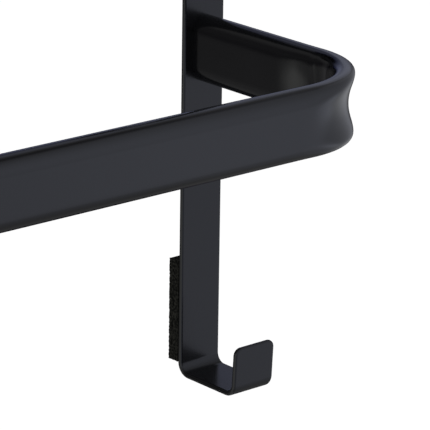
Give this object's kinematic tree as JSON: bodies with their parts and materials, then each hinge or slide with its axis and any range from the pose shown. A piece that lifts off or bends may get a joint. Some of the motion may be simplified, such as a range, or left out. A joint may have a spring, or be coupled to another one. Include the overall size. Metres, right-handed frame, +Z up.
{
  "type": "over-door towel rack",
  "caption": "Over-door towel rack: a bent flat-oval tube bar on steel straps, with over-door hooks above, J-hooks below and foam pads against the door.",
  "frame": {"origin": "on the door's top edge, midway between the straps and between the door's two faces", "axes": "+X along the bar, to the right of someone facing it; +Y back over the door; +Z up"},
  "size_m": [0.599, 0.1526, 0.2434],
  "materials": {
    "black_paint": "gloss",
    "foam": "matte"
  },
  "bodies": {
    "root": {"towel_bar": "black_paint", "left_strap": "black_paint", "right_strap": "black_paint", "left_lower_pad": "foam", "right_lower_pad": "foam", "left_hook_pad": "foam", "right_hook_pad": "foam"}
  },
  "joints": []
}
